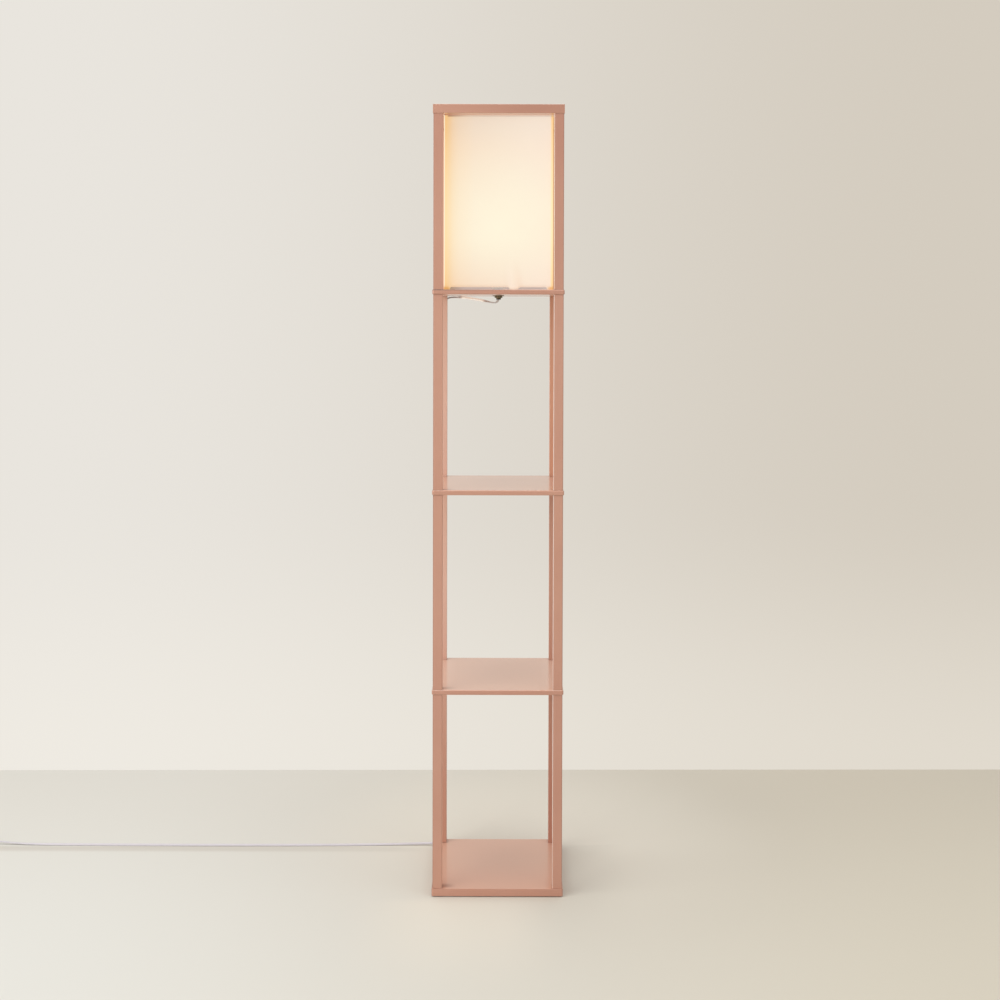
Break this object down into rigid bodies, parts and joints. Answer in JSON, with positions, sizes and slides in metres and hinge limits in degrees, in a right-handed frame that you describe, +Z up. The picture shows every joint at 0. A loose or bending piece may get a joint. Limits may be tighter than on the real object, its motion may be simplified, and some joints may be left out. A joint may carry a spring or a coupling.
{
  "type": "shelf floor lamp",
  "caption": "Tall square floor lamp: slim painted posts carry open shelves and, at the top, a lit translucent sleeve under an open frame; a flat cord with a foot switch runs from behind.",
  "frame": {"origin": "on the floor under the middle of the square column", "axes": "+Z up, the front faces -Y, +X to the right seen from the front"},
  "size_m": [1.4041, 0.2855, 1.5875],
  "materials": {
    "painted_wood": "satin dusty pink paint over board and stick",
    "felt": "pressed brown felt",
    "zinc_steel": "zinc plated",
    "beech": "bare",
    "shade_sheet": "cream translucent laminated sheet",
    "bronzed_steel": "dark bronze",
    "dark_plastic": "moulded",
    "holder_plastic": "moulded, heat-proof cream",
    "aluminium": "drawn",
    "brass": "stamped",
    "solder": "dull",
    "black_glass": "fused",
    "frosted_glass": "frosted white",
    "clear_cord": "milky flat two-core lamp cord",
    "white_plastic": "moulded",
    "white_rubber": "moulded"
  },
  "bodies": {
    "root": {"base_board": "painted_wood", "base_screws": "zinc_steel", "centre_contact": "brass", "cord_bushing": "dark_plastic", "cord_clipped": "clear_cord", "cord_clips": "white_plastic", "cord_coil": "clear_cord", "cord_floor": "clear_cord", "cord_hanging": "clear_cord", "foot_pads": "felt", "holder_body": "holder_plastic", "holder_cap": "holder_plastic", "lamp_shelf": "painted_wood", "lantern_post_front_left": "painted_wood", "lantern_post_front_right": "painted_wood", "lantern_post_rear_left": "painted_wood", "lantern_post_rear_right": "painted_wood", "lower_lock_nut": "bronzed_steel", "lower_post_front_left": "painted_wood", "lower_post_front_right": "painted_wood", "lower_post_rear_left": "painted_wood", "lower_post_rear_right": "painted_wood", "lower_shelf": "painted_wood", "lower_studs": "zinc_steel", "middle_post_front_left": "painted_wood", "middle_post_front_right": "painted_wood", "middle_post_rear_left": "painted_wood", "middle_post_rear_right": "painted_wood", "middle_shelf": "painted_wood", "middle_studs": "zinc_steel", "nipple_washer": "bronzed_steel", "plug_blades": "brass", "plug_body": "white_rubber", "screw_liner": "aluminium", "switch_base": "white_plastic", "switch_cover": "white_plastic", "switch_reliefs": "white_rubber", "threaded_nipple": "bronzed_steel", "top_dowels": "beech", "top_rail_front": "painted_wood", "top_rail_left": "painted_wood", "top_rail_rear": "painted_wood", "top_rail_right": "painted_wood", "top_screws": "zinc_steel", "upper_lock_nut": "holder_plastic", "upper_post_front_left": "painted_wood", "upper_post_front_right": "painted_wood", "upper_post_rear_left": "painted_wood", "upper_post_rear_right": "painted_wood", "upper_studs": "zinc_steel"},
    "shade": {"shade_sleeve": "shade_sheet"},
    "bulb_foot": {"bulb_tip": "solder"},
    "bulb": {"bulb_cap": "aluminium", "bulb_glass": "frosted_glass", "bulb_insulator": "black_glass"},
    "foot_button": {"switch_button": "white_plastic"}
  },
  "joints": [
    {"name": "shade_lift", "type": "slide", "parent": "root", "child": "shade", "axis": [0, 0, 1], "range_m": [0, 0.372]},
    {"name": "bulb_rise", "type": "slide", "parent": "root", "child": "bulb_foot", "axis": [0, 0, 1], "range_m": [0, 0.0182]},
    {"name": "bulb_turn", "type": "hinge", "parent": "bulb_foot", "child": "bulb", "pos_m": [0, 0, 1.26], "axis": [0, 0, 1], "range_deg": [0, 1800]},
    {"name": "button_press", "type": "slide", "parent": "root", "child": "foot_button", "axis": [0, 0, -1], "range_m": [0, 0.003], "stiffness_N_per_m": 300, "springref_m": -0.003}
  ],
  "couplings": [
    {"joint": "bulb_rise", "follows": "bulb_turn", "m_per_rad": 0.00057773}
  ]
}
